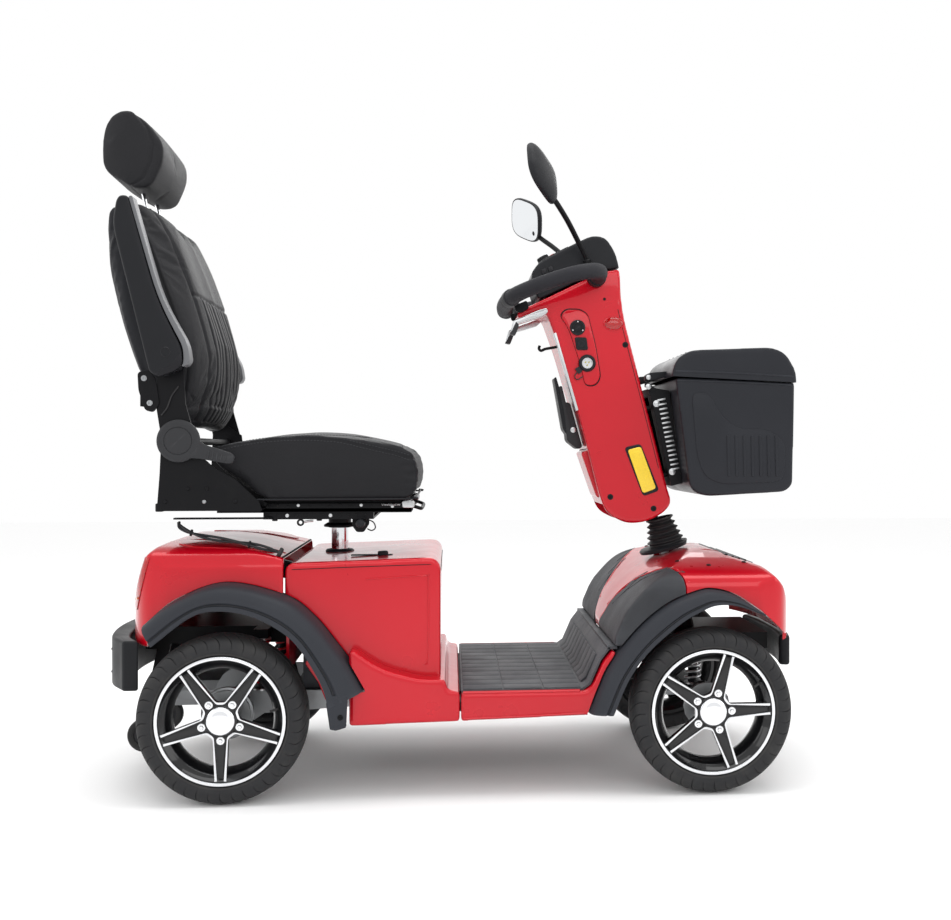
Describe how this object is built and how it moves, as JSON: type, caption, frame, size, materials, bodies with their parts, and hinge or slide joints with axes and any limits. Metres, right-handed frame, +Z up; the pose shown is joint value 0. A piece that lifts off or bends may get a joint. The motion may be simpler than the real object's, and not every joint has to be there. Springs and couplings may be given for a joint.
{
  "type": "mobility scooter",
  "caption": "Four-wheel mobility scooter with swivel captain's seat, loop handlebar on a tilting tiller and a lidded luggage box.",
  "frame": {"origin": "on the floor under the middle of the bounding box, with the seat facing forward", "axes": "+X forward, +Y to the rider's left, +Z up"},
  "size_m": [1.6156, 0.652, 1.551],
  "materials": {
    "red_paint": "glossy, sprayed",
    "black_plastic": "fine grain",
    "mat_rubber": "ribbed, dull",
    "black_steel": "powder coat, satin",
    "chrome": "polished",
    "bright_steel": "zinc plated",
    "tyre": "moulded rubber",
    "rim_alloy": "black, gloss lacquer",
    "vinyl": "grained black vinyl over foam",
    "lens": "clear, moulded",
    "grey_plastic": "smooth",
    "boot_rubber": "smooth",
    "cast_alloy": "cast, dull",
    "battery_case": "moulded"
  },
  "bodies": {
    "chassis": {"chassis_frame": "black_steel", "deck_pan": "red_paint", "deck_mat": "mat_rubber", "front_cowl": "red_paint", "headlamp_unit": "lens", "battery_cover": "red_paint", "rear_cowl": "red_paint", "rear_bumper": "black_plastic", "front_bumper": "black_plastic", "rear_fender_right": "black_plastic", "rear_fender_left": "black_plastic", "front_fender_right": "black_plastic", "front_fender_left": "black_plastic", "seat_post": "chrome", "battery_pack": "battery_case", "seat_loom": "boot_rubber"},
    "rear_axle": {"transaxle": "cast_alloy", "rear_shock_right": "bright_steel", "rear_shock_left": "bright_steel"},
    "rear_wheel_right": {"rear_rim_right": "rim_alloy", "rear_tyre_right": "tyre"},
    "rear_wheel_left": {"rear_rim_left": "rim_alloy", "rear_tyre_left": "tyre"},
    "front_axle": {"front_axle": "black_steel", "front_spring_right": "bright_steel", "front_spring_left": "bright_steel"},
    "knuckle_right": {"steering_knuckle_right": "cast_alloy"},
    "knuckle_left": {"steering_knuckle_left": "cast_alloy"},
    "front_wheel_right": {"front_rim_right": "rim_alloy", "front_tyre_right": "tyre"},
    "front_wheel_left": {"front_rim_left": "rim_alloy", "front_tyre_left": "tyre"},
    "track_rod": {"track_rod": "bright_steel"},
    "steering": {"steering_shaft": "bright_steel", "steering_bellows": "boot_rubber"},
    "tiller": {"tiller_shell": "red_paint", "tiller_frame": "black_steel", "dash_pod": "black_plastic", "handlebar": "black_plastic", "front_box": "black_plastic"},
    "drive_lever_right": {"drive_lever_right": "bright_steel"},
    "drive_lever_left": {"drive_lever_left": "bright_steel"},
    "mirror_right": {"mirror_right": "black_plastic"},
    "mirror_left": {"mirror_left": "black_plastic"},
    "speed_dial": {"speed_dial": "black_plastic"},
    "ignition_key": {"ignition_key": "chrome"},
    "phone_holder": {"phone_holder": "grey_plastic"},
    "box_lid": {"box_lid": "black_plastic"},
    "swivel": {"swivel_plate": "black_steel"},
    "swivel_lever": {"swivel_lever": "black_steel"},
    "seat": {"seat_frame": "black_steel", "seat_cushion": "vinyl"},
    "recline_lever": {"recline_lever": "grey_plastic"},
    "back": {"back_frame": "black_steel", "backrest": "vinyl"},
    "headrest": {"headrest": "vinyl"},
    "armrest_right": {"armrest_right": "black_plastic"},
    "armrest_left": {"armrest_left": "black_plastic"},
    "anti_tip_wheel_right": {"anti_tip_wheel_right": "black_plastic"},
    "anti_tip_wheel_left": {"anti_tip_wheel_left": "black_plastic"}
  },
  "joints": [
    {"name": "rear_suspension", "type": "hinge", "parent": "chassis", "child": "rear_axle", "pos_m": [-0.19181, 0, 0.19], "axis": [0, 1, 0], "range_deg": [0, 5], "stiffness_Nm_per_rad": 3000, "springref_deg": -4.3, "deforming": ["rear_shock_right", "rear_shock_left"]},
    {"name": "front_suspension", "type": "hinge", "parent": "chassis", "child": "front_axle", "pos_m": [0.36819, 0, 0.195], "axis": [0, -1, 0], "range_deg": [0, 7], "stiffness_Nm_per_rad": 1500, "springref_deg": -4.58, "deforming": ["front_spring_right", "front_spring_left"]},
    {"name": "rear_wheel_right_spin", "type": "hinge", "parent": "rear_axle", "child": "rear_wheel_right", "pos_m": [-0.48181, -0.276, 0.18], "axis": [0, 1, 0], "continuous": true},
    {"name": "rear_wheel_left_spin", "type": "hinge", "parent": "rear_axle", "child": "rear_wheel_left", "pos_m": [-0.48181, 0.276, 0.18], "axis": [0, 1, 0], "continuous": true},
    {"name": "steering", "type": "hinge", "parent": "chassis", "child": "steering", "pos_m": [0.52819, 0, 0.49], "axis": [0.2588, 0, -0.9659], "range_deg": [-30, 30]},
    {"name": "knuckle_right_steer", "type": "hinge", "parent": "front_axle", "child": "knuckle_right", "pos_m": [0.57319, -0.208, 0.18], "axis": [0, 0, 1], "range_deg": [-30, 30]},
    {"name": "front_wheel_right_spin", "type": "hinge", "parent": "knuckle_right", "child": "front_wheel_right", "pos_m": [0.57319, -0.276, 0.18], "axis": [0, 1, 0], "continuous": true},
    {"name": "knuckle_left_steer", "type": "hinge", "parent": "front_axle", "child": "knuckle_left", "pos_m": [0.57319, 0.208, 0.18], "axis": [0, 0, 1], "range_deg": [-30, 30]},
    {"name": "front_wheel_left_spin", "type": "hinge", "parent": "knuckle_left", "child": "front_wheel_left", "pos_m": [0.57319, 0.276, 0.18], "axis": [0, 1, 0], "continuous": true},
    {"name": "track_rod_slide", "type": "slide", "parent": "front_axle", "child": "track_rod", "axis": [0, 1, 0], "range_m": [-0.0435, 0.0435]},
    {"name": "tiller_tilt", "type": "hinge", "parent": "steering", "child": "tiller", "pos_m": [0.51319, 0, 0.545], "axis": [0, -1, 0], "range_deg": [-12, 20], "deforming": ["steering_bellows"]},
    {"name": "drive_lever_right_squeeze", "type": "hinge", "parent": "tiller", "child": "drive_lever_right", "pos_m": [0.22419, -0.106, 1.078], "axis": [0, 1, 0], "range_deg": [0, 12], "stiffness_Nm_per_rad": 2, "springref_deg": -8.59},
    {"name": "mirror_right_turn", "type": "hinge", "parent": "tiller", "child": "mirror_right", "pos_m": [0.32419, -0.097, 1.184], "axis": [0, 0, 1], "range_deg": [-25, 25]},
    {"name": "drive_lever_left_squeeze", "type": "hinge", "parent": "tiller", "child": "drive_lever_left", "pos_m": [0.22419, 0.106, 1.078], "axis": [0, 1, 0], "range_deg": [0, 12], "stiffness_Nm_per_rad": 2, "springref_deg": -8.59},
    {"name": "mirror_left_turn", "type": "hinge", "parent": "tiller", "child": "mirror_left", "pos_m": [0.32419, 0.097, 1.184], "axis": [0, 0, 1], "range_deg": [-25, 25]},
    {"name": "speed_dial_turn", "type": "hinge", "parent": "tiller", "child": "speed_dial", "pos_m": [0.23219, 0, 1.2095], "axis": [-0.4762, 0, 0.8794], "range_deg": [-135, 135]},
    {"name": "ignition_key_turn", "type": "hinge", "parent": "tiller", "child": "ignition_key", "pos_m": [0.24619, 0.042, 1.217], "axis": [-0.4762, 0, 0.8794], "range_deg": [0, 90]},
    {"name": "phone_holder_tilt", "type": "hinge", "parent": "tiller", "child": "phone_holder", "pos_m": [0.31819, 0, 0.757], "axis": [0, -1, 0], "range_deg": [0, 25]},
    {"name": "box_lid_hinge", "type": "hinge", "parent": "tiller", "child": "box_lid", "pos_m": [0.47019, 0, 0.922], "axis": [0, -1, 0], "range_deg": [0, 65]},
    {"name": "seat_swivel", "type": "hinge", "parent": "chassis", "child": "swivel", "pos_m": [-0.26381, 0, 0.59], "axis": [0, 0, 1], "range_deg": [-90, 90], "deforming": ["seat_loom"]},
    {"name": "swivel_lever_press", "type": "hinge", "parent": "swivel", "child": "swivel_lever", "pos_m": [-0.19581, -0.15, 0.59], "axis": [1, 0, 0], "range_deg": [0, 15], "stiffness_Nm_per_rad": 1.5, "springref_deg": -22.92},
    {"name": "seat_slide", "type": "slide", "parent": "swivel", "child": "seat", "axis": [1, 0, 0], "range_m": [-0.06, 0.06]},
    {"name": "backrest_recline", "type": "hinge", "parent": "seat", "child": "back", "pos_m": [-0.57981, 0, 0.771], "axis": [0, -1, 0], "range_deg": [-55, 30]},
    {"name": "recline_lever_lift", "type": "hinge", "parent": "seat", "child": "recline_lever", "pos_m": [-0.57981, -0.268, 0.771], "axis": [0, -1, 0], "range_deg": [0, 25], "stiffness_Nm_per_rad": 1.5, "springref_deg": -22.92},
    {"name": "headrest_height", "type": "slide", "parent": "back", "child": "headrest", "axis": [-0.2079, 0, 0.9781], "range_m": [0, 0.06]},
    {"name": "armrest_right_lift", "type": "hinge", "parent": "back", "child": "armrest_right", "pos_m": [-0.59381, -0.296, 0.957], "axis": [0, -1, 0], "range_deg": [-96, 0]},
    {"name": "armrest_left_lift", "type": "hinge", "parent": "back", "child": "armrest_left", "pos_m": [-0.59381, 0.296, 0.957], "axis": [0, -1, 0], "range_deg": [-96, 0]},
    {"name": "anti_tip_wheel_right_spin", "type": "hinge", "parent": "chassis", "child": "anti_tip_wheel_right", "pos_m": [-0.69481, -0.098, 0.101], "axis": [0, 1, 0], "continuous": true},
    {"name": "anti_tip_wheel_left_spin", "type": "hinge", "parent": "chassis", "child": "anti_tip_wheel_left", "pos_m": [-0.69481, 0.098, 0.101], "axis": [0, 1, 0], "continuous": true}
  ],
  "couplings": [
    {"joint": "knuckle_right_steer", "follows": "steering", "ratio": -1},
    {"joint": "knuckle_left_steer", "follows": "steering", "ratio": -1},
    {"joint": "track_rod_slide", "follows": "steering", "m_per_rad": 0.082}
  ]
}
